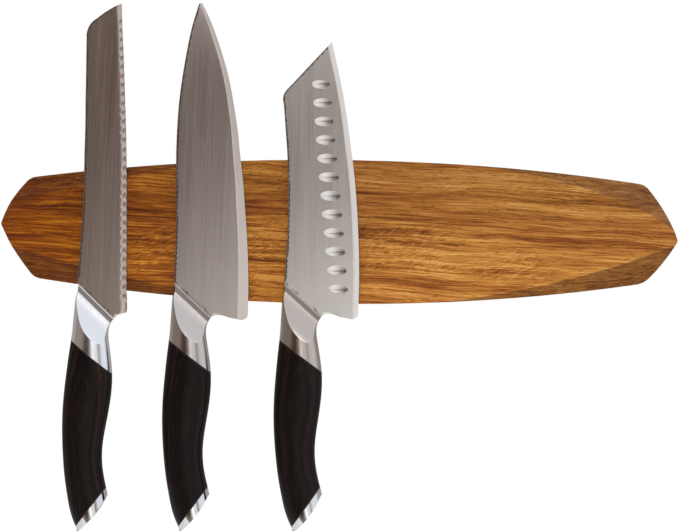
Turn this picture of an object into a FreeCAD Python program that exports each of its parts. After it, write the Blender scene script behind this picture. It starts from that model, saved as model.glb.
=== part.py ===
import FreeCAD, Part
import math
import os
import Sketcher

# Wall-mounted magnetic knife rail with three knives hanging from it, tips up.
# Frame: +X along the rail to the right, +Z up, +Y into the wall, origin at the
# centre of the rail's flat back face. All sizes in mm.

V = FreeCAD.Vector
doc = FreeCAD.newDocument("KnifeRail")
sheet = doc.addObject("Spreadsheet::Sheet", "Sizes")
P = {}

SIZES = [
    # ---- wooden rail -------------------------------------------------------
    ("rail_depth", 20.0), ("rail_lt_x", -218.1), ("rail_lt_z", 3.9), ("rail_rt_x", 217.6), ("rail_rt_z", -4.2),
    ("rail_ul_x", -200.3), ("rail_ul_z", 34.1), ("rail_ur_x", 197.6), ("rail_ur_z", 32.3),
    ("rail_ll_x", -197.8), ("rail_ll_z", -30.8), ("rail_lr_x", 197.3), ("rail_lr_z", -31.9),
    ("rail_top_rad", 1507.5), ("rail_bot_rad", 1313.6), ("rail_ul_rad", 82.1), ("rail_ll_rad", 166.2),
    ("rail_ur_rad", 110.6), ("rail_lr_rad", 111.1), ("rail_tip_fillet", 2.6), ("rail_corner_fillet", 9.0),
    ("rail_lr_fillet", 14.0), ("facet_slope", 35.0), ("facet_reach", 42.0), ("facet_lip", 1.0),
    ("fll_x", 79.2), ("fll_z", 922.2), ("fll_rad", 976.7), ("fll_mid", 12.0), ("fll_span", 14.0),
    ("ful_x", 44.9), ("ful_z", -924.9), ("ful_rad", 976.7), ("ful_mid", -10.0), ("ful_span", 14.0),
    ("flr_x", -6.5), ("flr_z", 563.9), ("flr_rad", 613.0), ("flr_mid", -15.0), ("flr_span", 24.0),
    ("fur_x", 50.6), ("fur_z", -320.4), ("fur_rad", 365.6), ("fur_mid", 22.5), ("fur_span", 45.0),
    ("fut_x", 139.6), ("fut_z", -91.1), ("fut_rad", 120.0), ("fut_mid", 45.6), ("fut_span", 48.8),
    # ---- magnet channel and its contents -----------------------------------
    ("chan_len", 332.0), ("chan_high", 34.0), ("chan_deep", 16.6),
    ("mag_len", 34.0), ("mag_high", 30.0), ("mag_thick", 5.0), ("mag_pitch", 36.6), ("mag_count", 9),
    ("web_gap", 0.1), ("keeper_len", 328.0), ("keeper_thick", 3.0),
    ("cover_clear", 0.15), ("cover_inset", 0.3),
    # ---- keyhole hangers ---------------------------------------------------
    ("key_x", 187.0), ("key_wide", 22.0), ("key_tall", 40.0), ("key_thick", 2.0), ("key_corner", 3.0),
    ("key_head_rad", 5.0), ("key_head_z", -6.0), ("key_slot_rad", 2.3), ("key_slot_z", 6.0),
    ("key_screw_z", 15.5), ("key_hole_rad", 1.75), ("key_csk_rad", 3.6), ("key_clear", 0.1),
    ("pock_wide", 13.0), ("pock_bot", -12.5), ("pock_top", 11.0), ("pock_deep", 10.0),
    ("scr_head_rad", 3.2), ("scr_shank_rad", 1.6), ("scr_len", 12.0), ("scr_recess", 0.35),
    ("scr_pilot_rad", 1.65), ("scr_recess_rad", 1.2), ("scr_recess_deep", 1.1),
    # ---- shared handle envelope: height, spine side, edge side, half thickness
    ("en1_z", 4.0), ("en1_l", 0.2), ("en1_r", 27.4), ("en1_b", 7.5),
    ("en2_z", -10.0), ("en2_l", -0.75), ("en2_r", 27.2), ("en2_b", 7.5),
    ("en3_z", -17.0), ("en3_l", -1.1), ("en3_r", 26.6), ("en3_b", 7.5),
    ("en4_z", -21.0), ("en4_l", -1.25), ("en4_r", 24.9), ("en4_b", 7.6),
    ("en5_z", -25.0), ("en5_l", -1.38), ("en5_r", 22.4), ("en5_b", 7.7),
    ("en6_z", -29.0), ("en6_l", -1.5), ("en6_r", 21.65), ("en6_b", 7.8),
    ("en7_z", -36.0), ("en7_l", -1.95), ("en7_r", 22.3), ("en7_b", 8.0),
    ("en8_z", -46.0), ("en8_l", -2.9), ("en8_r", 24.15), ("en8_b", 8.5),
    ("en9_z", -58.0), ("en9_l", -3.8), ("en9_r", 25.75), ("en9_b", 9.3),
    ("en10_z", -70.0), ("en10_l", -4.5), ("en10_r", 25.8), ("en10_b", 9.9),
    ("en11_z", -84.0), ("en11_l", -4.7), ("en11_r", 24.4), ("en11_b", 9.9),
    ("en12_z", -98.0), ("en12_l", -4.05), ("en12_r", 22.65), ("en12_b", 9.4),
    ("en13_z", -110.0), ("en13_l", -2.9), ("en13_r", 22.35), ("en13_b", 9.2),
    ("en14_z", -121.0), ("en14_l", -1.45), ("en14_r", 23.9), ("en14_b", 9.7),
    ("en15_z", -132.0), ("en15_l", 0.6), ("en15_r", 26.75), ("en15_b", 10.3),
    ("en16_z", -144.0), ("en16_l", 3.4), ("en16_r", 29.6), ("en16_b", 10.8),
    ("en17_z", -156.0), ("en17_l", 8.3), ("en17_r", 33.0), ("en17_b", 10.9),
    ("en18_z", -164.0), ("en18_l", 12.6), ("en18_r", 37.0), ("en18_b", 10.8),
    # ---- slanted joints and bolster grind ----------------------------------
    ("band_angle", 41.0), ("band_wide", 3.0), ("band_end", 32.3), ("ricasso_half", 1.25), ("band_half", 2.0),
    ("scoop_rad", 40.0), ("scoop_slope", 7.3), ("scoop_reach", 27.0),
    ("joint_x", -1.75), ("joint_z", -36.6), ("joint_angle", 35.8), ("spacer_thick", 0.8),
    ("cap_x", 25.31), ("cap_z", -131.46), ("cap_angle", 55.3), ("end_x", 26.44), ("end_z", -136.12),
    ("end_angle", 54.2), ("end_chord", 27.3), ("end_rad", 62.0),
    ("slot_half", 0.9), ("slot_clear", 0.1),
    ("peg_rad", 3.5), ("peg_x", 12.4), ("peg_top", -128.0), ("peg_low", -170.0), ("peg_clear", 0.05),
    # ---- tang, the same on all three knives --------------------------------
    ("tang_half", 0.85), ("tang_l1", 3.0), ("tang_l2", 6.2), ("tang_r1", 19.0), ("tang_r2", 14.2),
    ("tang_z1", 1.0), ("tang_z2", -22.0), ("tang_z3", -40.0), ("tang_z4", -118.0), ("tang_z5", -12.0),
    ("tang_z6", -29.0),
    # ---- placements in the rail's frame ------------------------------------
    ("bread_x", -168.26), ("bread_z", -34.19), ("bread_tilt", 3.03), ("bread_lean", 0.05), ("bread_y", -21.62),
    ("chef_x", -106.24), ("chef_z", -33.57), ("chef_tilt", 1.58), ("chef_lean", 0.45), ("chef_y", -22.2),
    ("santoku_x", -35.72), ("santoku_z", -33.08), ("santoku_tilt", 0.83), ("santoku_lean", 1.3), ("santoku_y", -23.45),
]


def table(prefix, rows):
    """One row per blade station: height, spine, edge, half thicknesses, bevel width."""
    for i, (z, l, r, s, b, w) in enumerate(rows, 1):
        for key, val in zip(("z", "l", "r", "s", "b", "w"), (z, l, r, s, b, w)):
            SIZES.append(("%s%d_%s" % (prefix, i, key), val))


CHEF = [(-28.0, -0.40, 48.20, 1.30, 0.56, 6.6), (-12.0, -0.10, 48.00, 1.27, 0.56, 6.5), (4.0, 0.10, 47.60, 1.24, 0.55, 6.3),
        (20.0, 0.05, 46.70, 1.20, 0.53, 6.0), (36.0, -0.05, 45.30, 1.16, 0.51, 5.6), (52.0, -0.60, 43.60, 1.12, 0.50, 5.2),
        (68.0, -1.10, 41.85, 1.08, 0.49, 4.8), (84.0, -1.55, 39.55, 1.04, 0.48, 4.4), (100.0, -1.50, 37.35, 0.99, 0.47, 4.0),
        (116.0, -0.85, 34.35, 0.94, 0.45, 3.6), (132.0, 0.65, 30.85, 0.88, 0.43, 3.3), (148.0, 2.80, 25.90, 0.80, 0.40, 3.0),
        (164.0, 5.55, 19.85, 0.64, 0.33, 2.6), (172.4, 7.62, 16.10, 0.52, 0.28, 2.0),
        (180.4, 9.90, 11.90, 0.36, 0.22, 0.9)]
BREAD = [(-28.0, -0.90, 33.60, 1.15, 0.95, 5.0), (-12.0, -0.80, 32.60, 1.15, 0.95, 5.0), (4.0, -0.30, 31.25, 1.15, 0.94, 5.0),
        (20.0, 0.30, 30.50, 1.14, 0.92, 5.0), (36.0, 0.55, 29.60, 1.13, 0.90, 5.0), (52.0, 0.55, 28.60, 1.12, 0.88, 5.0),
        (68.0, 0.10, 27.60, 1.10, 0.86, 5.0), (84.0, -0.55, 26.45, 1.08, 0.84, 5.0), (100.0, -1.05, 25.25, 1.06, 0.82, 5.0),
        (116.0, -1.85, 23.80, 1.04, 0.80, 5.0), (132.0, -2.50, 22.35, 1.02, 0.78, 5.0), (148.0, -3.25, 20.80, 1.00, 0.76, 5.0),
        (164.0, -3.95, 19.05, 0.97, 0.74, 5.0), (184.0, -4.60, 17.20, 0.94, 0.72, 5.0)]
SANTOKU = [(-28.0, -0.50, 48.20, 1.16, 0.50, 3.7), (-12.5, -0.30, 48.25, 1.15, 0.50, 3.7), (3.0, 0.45, 48.30, 1.15, 0.50, 3.7),
        (18.5, 1.20, 47.85, 1.14, 0.50, 3.6), (34.0, 1.85, 47.05, 1.13, 0.49, 3.6), (49.5, 1.75, 45.90, 1.12, 0.49, 3.5),
        (65.0, 1.25, 44.40, 1.10, 0.48, 3.5), (80.5, 0.60, 42.35, 1.08, 0.48, 3.4), (96.0, -0.75, 40.00, 1.06, 0.47, 3.3),
        (111.5, -2.20, 37.50, 1.04, 0.46, 3.2), (127.0, -3.60, 34.40, 1.02, 0.45, 3.1), (142.5, -4.80, 30.80, 1.00, 0.43, 3.0),
        (158.0, -6.00, 26.90, 0.96, 0.40, 2.8)]
SERRATIONS = (14, 17)    # scallops in the row from the point down, and in the row from the heel up
table("cb", CHEF)
table("bb", BREAD)
table("sb", SANTOKU)
SIZES += [
    ("edge_half", 0.12),
    # heel outline below each blade: choil end, hump, heel start, heel corner
    ("ch1_x", 29.8), ("ch1_z", -19.55), ("ch1_rad", 8.0), ("ch2_x", 36.0), ("ch2_z", -21.0), ("ch2_rad", 18.0),
    ("ch3_x", 43.8), ("ch3_z", -22.3), ("ch4_x", 48.4), ("ch4_z", -17.8), ("ch4_rad", 4.6),
    ("sh1_x", 29.5), ("sh1_z", -18.95), ("sh1_rad", 8.0), ("sh2_x", 36.0), ("sh2_z", -20.9), ("sh2_rad", 16.0),
    ("sh3_x", 43.8), ("sh3_z", -22.3), ("sh4_x", 48.5), ("sh4_z", -17.8), ("sh4_rad", 4.7),
    ("bh1_x", 27.2), ("bh1_z", -18.6), ("bh1_rad", 9.0), ("bh2_x", 29.6), ("bh2_z", -17.7), ("bh2_rad", 30.0),
    ("bh3_x", 31.6), ("bh3_z", -17.1), ("bh4_x", 33.0), ("bh4_z", -14.9), ("bh4_rad", 2.0),
    # bread knife nose: spine corner arc and long arc to the point
    ("bn1_x", -3.66), ("bn1_z", 157.5), ("bn1_rad", 13.0), ("bn2_x", 2.4), ("bn2_z", 170.7), ("bn2_rad", 55.0),
    ("bn3_x", 16.9), ("bn3_z", 180.9),
    # santoku nose: spine corner arc and straight cut to the point
    ("sn1_x", -2.7), ("sn1_z", 115.6), ("sn1_rad", 9.0), ("sn2_x", -0.2), ("sn2_z", 124.9),
    ("sn3_x", 26.2), ("sn3_z", 154.3),
    # serrations
    ("se1_x", 18.65), ("se1_z", 168.1), ("se1_lean", 5.2),
    ("se2_x", 31.85), ("se2_z", -7.0), ("se2_lean", 3.45),
    ("ser_pitch", 5.84), ("ser_rad", 11.0), ("ser_angle", 25.0),
    # granton dimples
    ("dim_x", 35.2), ("dim_z", -3.1), ("dim_lean", 6.12), ("dim_pitch", 12.02), ("dim_count", 12),
    ("dim_depth", 0.33), ("dim_wheel", 54.5), ("dim_crown", 11.9), ("dim_face", 0.65), ("dim_taper", 0.84),
]
for row, (name, value) in enumerate(SIZES, 1):
    sheet.set("A%d" % row, name)
    sheet.set("B%d" % row, repr(value))
    sheet.setAlias("B%d" % row, name)
    P[name] = float(value)
doc.recompute()


class Q:
    """A number together with the spreadsheet expression that drives it."""

    def __init__(self, v, t):
        self.v, self.t = v, t

    def __add__(self, o):
        o = q(o)
        return Q(self.v + o.v, "(%s + %s)" % (self.t, o.t))

    def __sub__(self, o):
        o = q(o)
        return Q(self.v - o.v, "(%s - %s)" % (self.t, o.t))

    def __mul__(self, o):
        o = q(o)
        return Q(self.v * o.v, "(%s * %s)" % (self.t, o.t))

    def __truediv__(self, o):
        o = q(o)
        return Q(self.v / o.v, "(%s / %s)" % (self.t, o.t))

    def __neg__(self):
        return Q(-self.v, "(0 - %s)" % self.t)

    __radd__ = __add__

    def __rsub__(self, o):
        return q(o) - self

    __rmul__ = __mul__


def q(o):
    if isinstance(o, Q):
        return o
    if isinstance(o, str):
        return Q(P[o], "Sizes.%s" % o)
    return Q(float(o), repr(float(o)))


def qsin(a):
    return Q(math.sin(math.radians(a.v)), "sin(%s * 1 deg)" % a.t)


def qcos(a):
    return Q(math.cos(math.radians(a.v)), "cos(%s * 1 deg)" % a.t)


def qtan(a):
    return Q(math.tan(math.radians(a.v)), "tan(%s * 1 deg)" % a.t)


def qsqrt(a):
    return Q(math.sqrt(a.v), "sqrt(%s)" % a.t)


def body(name):
    b = doc.addObject("PartDesign::Body", name)
    b.Label = name
    return b


def plane(b, role):
    """One of the body's own origin planes or axes."""
    return [o for o in b.Origin.OriginFeatures if o.Role == role][0]


def sketch(b, name, role, base=(0, 0, 0), yaw=0, pitch=0, roll=0):
    """Sketch on one of the body's own origin planes, offset and turned by cells."""
    s = b.newObject("Sketcher::SketchObject", name)
    s.AttachmentSupport = [(plane(b, role), "")]
    s.MapMode = "FlatFace"
    base = [q(c) for c in base]
    yaw, pitch, roll = q(yaw), q(pitch), q(roll)
    s.AttachmentOffset = FreeCAD.Placement(V(*[c.v for c in base]), FreeCAD.Rotation(yaw.v, pitch.v, roll.v))
    s.setExpression("AttachmentOffset", "placement(vector(%s; %s; %s); rotation(%s; %s; %s))" % (
        base[0].t, base[1].t, base[2].t, yaw.t, pitch.t, roll.t))
    return s


def drive(s, con, val):
    i = s.addConstraint(con)
    if "Sizes." in val.t:
        s.setExpression("Constraints[%d]" % i, val.t)
    return i


def pin(s, geo, pos, x, y):
    """Hold one point of the sketch at cell-driven coordinates."""
    for kind, val, axis in (("DistanceX", x, -2), ("DistanceY", y, -1)):
        if abs(val.v) < 1e-9 and "Sizes." not in val.t:
            s.addConstraint(Sketcher.Constraint("PointOnObject", geo, pos, axis))
        else:
            drive(s, Sketcher.Constraint(kind, -1, 1, geo, pos, val.v), val)


def outline(s, pts, arcs=None):
    """Closed outline. pts: (x, y) pairs; arcs: {edge index: radius}; a positive
    radius bulges to the left of the edge's direction, a negative one to the right."""
    arcs = arcs or {}
    pts = [(q(x), q(y)) for x, y in pts]
    n = len(pts)
    ids, ends = [], []
    for i in range(n):
        a, b2 = pts[i], pts[(i + 1) % n]
        va, vb = V(a[0].v, a[1].v, 0), V(b2[0].v, b2[1].v, 0)
        if i in arcs:
            r = q(arcs[i])
            sign = 1.0
            rad = r
            if r.v < 0:
                sign, rad = -1.0, -r
            d = vb - va
            half = d.Length / 2
            nrm = V(-d.y, d.x, 0).normalize()
            mid = (va + vb) * 0.5
            h = math.sqrt(max(rad.v ** 2 - half ** 2, 0.0))
            c = mid - nrm * (h * sign)
            a0 = math.atan2(va.y - c.y, va.x - c.x)
            a1 = math.atan2(vb.y - c.y, vb.x - c.x)
            circ = Part.Circle(c, V(0, 0, 1), rad.v)
            if sign > 0:   # bulge left of travel: clockwise travel, so the arc runs b -> a
                if a0 < a1:
                    a0 += 2 * math.pi
                g = s.addGeometry(Part.ArcOfCircle(circ, a1, a0), False)
                ids.append(g)
                ends.append((2, 1))
            else:
                if a1 < a0:
                    a1 += 2 * math.pi
                g = s.addGeometry(Part.ArcOfCircle(circ, a0, a1), False)
                ids.append(g)
                ends.append((1, 2))
            drive(s, Sketcher.Constraint("Radius", g, rad.v), rad)
        else:
            ids.append(s.addGeometry(Part.LineSegment(va, vb), False))
            ends.append((1, 2))
    for i in range(n):
        j = (i + 1) % n
        s.addConstraint(Sketcher.Constraint("Coincident", ids[i], ends[i][1], ids[j], ends[j][0]))
    for i in range(n):
        pin(s, ids[i], ends[i][0], pts[i][0], pts[i][1])
    return ids


def circle(s, x, y, r):
    x, y, r = q(x), q(y), q(r)
    g = s.addGeometry(Part.Circle(V(x.v, y.v, 0), V(0, 0, 1), r.v), False)
    pin(s, g, 3, x, y)
    drive(s, Sketcher.Constraint("Radius", g, r.v), r)


def oval(s, x0, x1, half):
    """Ellipse between x0 and x1 on the sketch's x axis."""
    x0, x1, half = q(x0), q(x1), q(half)
    cx, a = (x0 + x1) / 2, x1 - x0
    g = s.addGeometry(Part.Ellipse(V(x1.v, 0, 0), V(cx.v, half.v, 0), V(cx.v, 0, 0)), False)
    s.exposeInternalGeometry(g)
    s.addConstraint(Sketcher.Constraint("PointOnObject", g, 3, -1))
    drive(s, Sketcher.Constraint("DistanceX", -1, 1, g, 3, cx.v), cx)
    s.addConstraint(Sketcher.Constraint("Horizontal", g + 1))
    drive(s, Sketcher.Constraint("Distance", g + 1, a.v), a)
    drive(s, Sketcher.Constraint("Distance", g + 2, 2 * half.v), half * 2)


def pad(b, name, s, length, mid=False, rev=False):
    f = b.newObject("PartDesign::Pad", name)
    f.Profile = s
    length = q(length)
    f.Length = length.v
    f.setExpression("Length", length.t)
    f.Midplane = mid
    f.Reversed = rev
    s.Visibility = False
    return f


def cut(b, name, s, length=None, mid=False, rev=False):
    """Pocket; with no length it goes through everything on both sides."""
    f = b.newObject("PartDesign::Pocket", name)
    f.Profile = s
    if length is None:
        f.Type = 1
    else:
        length = q(length)
        f.Length = length.v
        f.setExpression("Length", length.t)
    f.Midplane = mid
    f.Reversed = rev
    s.Visibility = False
    return f


def revolve_cut(b, name, s, angle=360.0, mid=False):
    f = b.newObject("PartDesign::Groove", name)
    f.Profile = s
    f.ReferenceAxis = (s, ["V_Axis"])
    f.Angle = angle
    f.Midplane = mid
    s.Visibility = False
    return f


def loft(b, name, sections):
    f = b.newObject("PartDesign::AdditiveLoft", name)
    f.Profile = sections[0]
    f.Sections = sections[1:]
    for s in sections:
        s.Visibility = False
    return f


def repeat(b, name, feats, ref, count, length):
    f = b.newObject("PartDesign::LinearPattern", name)
    f.Originals = feats
    f.Direction = ref
    length, count = q(length), q(count)
    f.Length = length.v
    f.Occurrences = int(count.v)
    f.setExpression("Length", length.t)
    f.setExpression("Occurrences", count.t)
    b.Tip = f
    return f


# ---------------------------------------------------------------------------
# rail
# ---------------------------------------------------------------------------
rail = body("rail_body")
s = sketch(rail, "rail_outline", "XZ_Plane")
outline(s, [("rail_lt_x", "rail_lt_z"), ("rail_ul_x", "rail_ul_z"), ("rail_ur_x", "rail_ur_z"),
            ("rail_rt_x", "rail_rt_z"), ("rail_lr_x", "rail_lr_z"), ("rail_ll_x", "rail_ll_z")],
        {0: "rail_ul_rad", 1: "rail_top_rad", 2: "rail_ur_rad", 3: "rail_lr_rad", 4: "rail_bot_rad", 5: "rail_ll_rad"})
slab = pad(rail, "slab", s, "rail_depth")
doc.recompute()


def corner_edges(feat, x, z):
    """Names of the edges of a feature that run along Y at (x, z)."""
    out = []
    for i, e in enumerate(feat.Shape.Edges, 1):
        a, c = e.Vertexes[0].Point, e.Vertexes[-1].Point
        if abs(a.x - x) < 0.2 and abs(a.z - z) < 0.2 and abs(c.x - x) < 0.2 and abs(c.z - z) < 0.2 and abs(a.y - c.y) > 5:
            out.append("Edge%d" % i)
    return out


def fillet(b, name, base, edges, rad):
    f = b.newObject("PartDesign::Fillet", name)
    f.Base = (base, edges)
    rad = q(rad)
    f.Radius = rad.v
    f.setExpression("Radius", rad.t)
    return f


tips = corner_edges(slab, P["rail_lt_x"], P["rail_lt_z"]) + corner_edges(slab, P["rail_rt_x"], P["rail_rt_z"])
f1 = fillet(rail, "tip_rounding", slab, tips, "rail_tip_fillet")
doc.recompute()
corners = []
for tag in ("ul", "ur", "ll"):
    corners += corner_edges(f1, P["rail_%s_x" % tag], P["rail_%s_z" % tag])
f2 = fillet(rail, "corner_rounding", f1, corners, "rail_corner_fillet")
doc.recompute()
f3 = fillet(rail, "low_corner_rounding", f2, corner_edges(f2, P["rail_lr_x"], P["rail_lr_z"]), "rail_lr_fillet")
doc.recompute()

# front facets: each is a shallow cone about an axis square to the wall, cut by
# turning a triangle held in a plane through that axis
for tag in ("fll", "ful", "flr", "fur", "fut"):
    s = sketch(rail, tag + "_profile", "YZ_Plane", (0, tag + "_z", tag + "_x"), 0, 0, tag + "_mid")
    sgn = -1.0 if P[tag + "_z"] > 0 else 1.0
    front, r0, reach = -q("rail_depth"), q(tag + "_rad"), q("facet_reach")
    drop = reach * qtan(q("facet_slope"))
    lip = q("facet_lip")
    back = lip / qtan(q("facet_slope"))
    outline(s, [(front - lip, (r0 - back) * sgn), (front + drop, (r0 + reach) * sgn), (front - lip, (r0 + reach) * sgn)])
    g = rail.newObject("PartDesign::Groove", tag + "_facet")
    g.Profile = s
    g.ReferenceAxis = (s, ["H_Axis"])
    g.Angle = P[tag + "_span"]
    g.setExpression("Angle", "Sizes.%s_span" % tag)
    g.Midplane = True
    s.Visibility = False
doc.recompute()

# magnet channel from the back
s = sketch(rail, "channel_outline", "XZ_Plane")
L2, H2 = q("chan_len") / 2, q("chan_high") / 2
outline(s, [(-L2, -H2), (L2, -H2), (L2, H2), (-L2, H2)])
cut(rail, "channel", s, "chan_deep", rev=True)
doc.recompute()
for side, sx in (("left", -1.0), ("right", 1.0)):
    kx = q("key_x") * sx
    s = sketch(rail, "plate_seat_" + side, "XZ_Plane")
    w, t2 = q("key_wide") / 2 + "key_clear", q("key_tall") / 2 + "key_clear"
    outline(s, [(kx - w, -t2), (kx + w, -t2), (kx + w, t2), (kx - w, t2)])
    cut(rail, "plate_recess_" + side, s, q("key_thick") + 0.1, rev=True)
    s = sketch(rail, "head_room_" + side, "XZ_Plane")
    w = q("pock_wide") / 2
    outline(s, [(kx - w, "pock_bot"), (kx + w, "pock_bot"), (kx + w, "pock_top"), (kx - w, "pock_top")])
    cut(rail, "head_pocket_" + side, s, "pock_deep", rev=True)
    s = sketch(rail, "pilots_" + side, "XZ_Plane")
    circle(s, kx, "key_screw_z", "scr_pilot_rad")
    circle(s, kx, -q("key_screw_z"), "scr_pilot_rad")
    cut(rail, "pilot_holes_" + side, s, q("scr_len") + 0.6, rev=True)
doc.recompute()

# magnets: a row of blocks behind the front web
mags = body("magnets")
mags.AllowCompound = True
first = -(q("mag_pitch") * (q("mag_count") - 1) / 2)
s = sketch(mags, "magnet_outline", "XZ_Plane", (0, 0, q("chan_deep") - "web_gap" - "mag_thick"))
ml, mh = q("mag_len") / 2, q("mag_high") / 2
outline(s, [(first - ml, -mh), (first + ml, -mh), (first + ml, mh), (first - ml, mh)])
m0 = pad(mags, "magnet", s, "mag_thick")
repeat(mags, "magnet_row", [m0], (plane(mags, "X_Axis"), [""]), "mag_count", q("mag_pitch") * (q("mag_count") - 1))

# steel keeper strip behind the magnets
keeper = body("keeper_bar")
s = sketch(keeper, "keeper_outline", "XZ_Plane", (0, 0, q("chan_deep") - "web_gap" - "mag_thick" - 0.05 - "keeper_thick"))
kl, kh = q("keeper_len") / 2, q("mag_high") / 2
outline(s, [(-kl, -kh), (kl, -kh), (kl, kh), (-kl, kh)])
pad(keeper, "keeper", s, "keeper_thick")

# wooden strip closing the channel
cover = body("back_cover_strip")
s = sketch(cover, "cover_outline", "XZ_Plane", (0, 0, "cover_inset"))
cl, chh = q("chan_len") / 2 - "cover_clear", q("chan_high") / 2 - "cover_clear"
outline(s, [(-cl, -chh), (cl, -chh), (cl, chh), (-cl, chh)])
pad(cover, "cover", s, q("chan_deep") - "web_gap" - "mag_thick" - "keeper_thick" - 0.1 - "cover_inset")

# keyhole hanger plates
for side, sx in (("left", -1.0), ("right", 1.0)):
    kx = q("key_x") * sx
    kp = body("keyhole_plate_" + side)
    s = sketch(kp, "plate_outline_" + side, "XZ_Plane", (0, 0, 0.05))
    w, t2 = q("key_wide") / 2, q("key_tall") / 2
    outline(s, [(kx - w, -t2), (kx + w, -t2), (kx + w, t2), (kx - w, t2)])
    p0 = pad(kp, "plate_" + side, s, "key_thick")
    doc.recompute()
    edges = []
    for ex in (-1, 1):
        for ez in (-1, 1):
            edges += [("Edge%d" % i) for i, e in enumerate(p0.Shape.Edges, 1)
                      if all(abs(v.Point.x - (kx.v + ex * w.v)) < 0.01 and abs(v.Point.z - ez * t2.v) < 0.01 for v in e.Vertexes)]
    fl = fillet(kp, "plate_corners_" + side, p0, edges, "key_corner")
    # keyhole: head entry below, slot above
    s = sketch(kp, "keyhole_" + side, "XZ_Plane")
    hr, sr = q("key_head_rad"), q("key_slot_rad")
    up = qsqrt(hr * hr - sr * sr)
    hz, sz = q("key_head_z"), q("key_slot_z")
    g0 = s.addGeometry(Part.ArcOfCircle(Part.Circle(V(kx.v, hz.v, 0), V(0, 0, 1), hr.v),
                                        math.pi / 2 + math.asin(sr.v / hr.v), 5 * math.pi / 2 - math.asin(sr.v / hr.v)), False)
    g1 = s.addGeometry(Part.LineSegment(V(kx.v + sr.v, hz.v + up.v, 0), V(kx.v + sr.v, sz.v, 0)), False)
    g2 = s.addGeometry(Part.ArcOfCircle(Part.Circle(V(kx.v, sz.v, 0), V(0, 0, 1), sr.v), 0, math.pi), False)
    g3 = s.addGeometry(Part.LineSegment(V(kx.v - sr.v, sz.v, 0), V(kx.v - sr.v, hz.v + up.v, 0)), False)
    s.addConstraint(Sketcher.Constraint("Coincident", g0, 2, g1, 1))
    s.addConstraint(Sketcher.Constraint("Tangent", g1, 2, g2, 1))
    s.addConstraint(Sketcher.Constraint("Tangent", g2, 2, g3, 1))
    s.addConstraint(Sketcher.Constraint("Coincident", g3, 2, g0, 1))
    s.addConstraint(Sketcher.Constraint("Vertical", g1))
    pin(s, g0, 3, kx, hz)
    pin(s, g2, 3, kx, sz)
    drive(s, Sketcher.Constraint("Radius", g0, hr.v), hr)
    drive(s, Sketcher.Constraint("Radius", g2, sr.v), sr)
    cut(kp, "keyhole_cut_" + side, s, None, mid=True)
    # countersunk screw holes
    s = sketch(kp, "screw_holes_" + side, "XZ_Plane")
    circle(s, kx, "key_screw_z", "key_hole_rad")
    circle(s, kx, -q("key_screw_z"), "key_hole_rad")
    cut(kp, "screw_through_" + side, s, None, mid=True)
    s = sketch(kp, "sink_" + side, "YZ_Plane", (0, "key_screw_z", kx))
    outline(s, [(0.2, 0.0), (0.2, q("key_csk_rad") + 0.2), (-q("key_csk_rad"), 0.0)])
    g = kp.newObject("PartDesign::Groove", "sink_cut_" + side)
    g.Profile = s
    g.ReferenceAxis = (s, ["H_Axis"])
    g.Angle = 360.0
    s2 = sketch(kp, "sink_low_" + side, "YZ_Plane", (0, -q("key_screw_z"), kx))
    outline(s2, [(0.2, 0.0), (0.2, q("key_csk_rad") + 0.2), (-q("key_csk_rad"), 0.0)])
    g = kp.newObject("PartDesign::Groove", "sink_low_cut_" + side)
    g.Profile = s2
    g.ReferenceAxis = (s2, ["H_Axis"])
    g.Angle = 360.0
    s.Visibility = s2.Visibility = False
doc.recompute()

# four countersunk wood screws, one node of separate solids
scr = body("keyhole_plate_screws")
scr.AllowCompound = True
s = sketch(scr, "screw_half", "YZ_Plane", (0, -q("key_screw_z"), -q("key_x")))
hd, sh = q("scr_head_rad"), q("scr_shank_rad")
in0 = -q("scr_recess")
outline(s, [(in0, 0.0), (in0, hd), (in0 - (hd - sh), sh), (-(q("scr_len") - 1.8), sh), (-q("scr_len"), 0.0)])
r0 = scr.newObject("PartDesign::Revolution", "screw")
r0.Profile = s
r0.ReferenceAxis = (s, ["H_Axis"])
r0.Angle = 360.0
s.Visibility = False
s = sketch(scr, "drive_recess", "XZ_Plane", (-q("key_x"), -q("key_screw_z"), "scr_recess"))
a, b3 = q("scr_recess_rad"), q(0.32)
outline(s, [(-a, -b3), (-b3, -b3), (-b3, -a), (b3, -a), (b3, -b3), (a, -b3), (a, b3), (b3, b3), (b3, a), (-b3, a), (-b3, b3), (-a, b3)])
c0 = cut(scr, "screw_recess", s, "scr_recess_deep", rev=True)
doc.recompute()
multi = scr.newObject("PartDesign::MultiTransform", "screw_set")
multi.Originals = [r0, c0]
lp1 = doc.addObject("PartDesign::LinearPattern", "screws_up")
lp1.Direction = (plane(scr, "Z_Axis"), [""])
lp1.Length = 2 * P["key_screw_z"]
lp1.setExpression("Length", "2 * Sizes.key_screw_z")
lp1.Occurrences = 2
lp2 = doc.addObject("PartDesign::LinearPattern", "screws_across")
lp2.Direction = (plane(scr, "X_Axis"), [""])
lp2.Length = 2 * P["key_x"]
lp2.setExpression("Length", "2 * Sizes.key_x")
lp2.Occurrences = 2
scr.addObject(lp1)
scr.addObject(lp2)
multi.Transformations = [lp1, lp2]
scr.Tip = multi
doc.recompute()


# ---------------------------------------------------------------------------
# knives
# ---------------------------------------------------------------------------
def envelope(b, tag):
    secs = []
    for i in range(1, 19):
        s = sketch(b, "%s_oval%d" % (tag, i), "XY_Plane", (0, 0, "en%d_z" % i))
        oval(s, "en%d_l" % i, "en%d_r" % i, "en%d_b" % i)
        secs.append(s)
    return loft(b, tag + "_form", secs)


def half_plane(b, tag, x, z, angle, shift, above):
    """Remove everything on one side of a slanted plane square to the knife's side face."""
    s = sketch(b, tag + "_line", "XZ_Plane", (x, z, 0), angle)
    d = q(shift)
    far = 260.0 if above else -260.0
    lo = [(-200.0, d), (200.0, d), (200.0, far), (-200.0, far)]
    outline(s, lo)
    return cut(b, tag, s, None, mid=True)


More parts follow.
